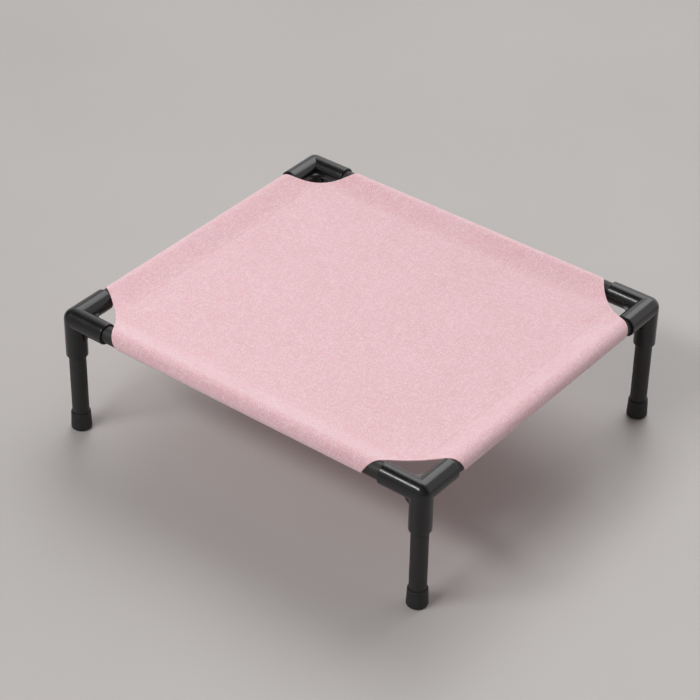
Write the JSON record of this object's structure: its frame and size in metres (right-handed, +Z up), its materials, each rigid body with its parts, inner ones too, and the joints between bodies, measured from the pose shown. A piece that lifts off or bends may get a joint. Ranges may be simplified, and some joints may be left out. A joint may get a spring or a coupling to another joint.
{
  "type": "raised dog cot",
  "caption": "Low raised dog bed: a woven sheet stretched by sewn pockets over a tube frame, with tube legs pushed into three-way corner fittings and soft foot caps.",
  "frame": {"origin": "on the floor, under the middle of the bed", "axes": "+X along the long rails, +Y from the front rail to the back rail, +Z up"},
  "size_m": [0.4156, 0.3686, 0.1338],
  "materials": {
    "tube": "matte black powder coat",
    "fitting": "black moulded plastic, satin gloss",
    "foot": "matte black",
    "cloth": "dusty pink plain weave with pale flecks"
  },
  "bodies": {
    "frame": {"front_rail": "tube", "back_rail": "tube", "left_rail": "tube", "right_rail": "tube", "front_left_fitting": "fitting", "front_right_fitting": "fitting", "back_right_fitting": "fitting", "back_left_fitting": "fitting", "bed_sheet": "cloth"},
    "front_left_leg": {"front_left_leg": "tube", "front_left_foot": "foot"},
    "front_right_leg": {"front_right_leg": "tube", "front_right_foot": "foot"},
    "back_right_leg": {"back_right_leg": "tube", "back_right_foot": "foot"},
    "back_left_leg": {"back_left_leg": "tube", "back_left_foot": "foot"}
  },
  "joints": [
    {"name": "front_left_leg_pull", "type": "slide", "parent": "frame", "child": "front_left_leg", "axis": [0, 0, -1], "range_m": [0, 0.0275]},
    {"name": "front_right_leg_pull", "type": "slide", "parent": "frame", "child": "front_right_leg", "axis": [0, 0, -1], "range_m": [0, 0.0275]},
    {"name": "back_right_leg_pull", "type": "slide", "parent": "frame", "child": "back_right_leg", "axis": [0, 0, -1], "range_m": [0, 0.0275]},
    {"name": "back_left_leg_pull", "type": "slide", "parent": "frame", "child": "back_left_leg", "axis": [0, 0, -1], "range_m": [0, 0.0275]}
  ]
}
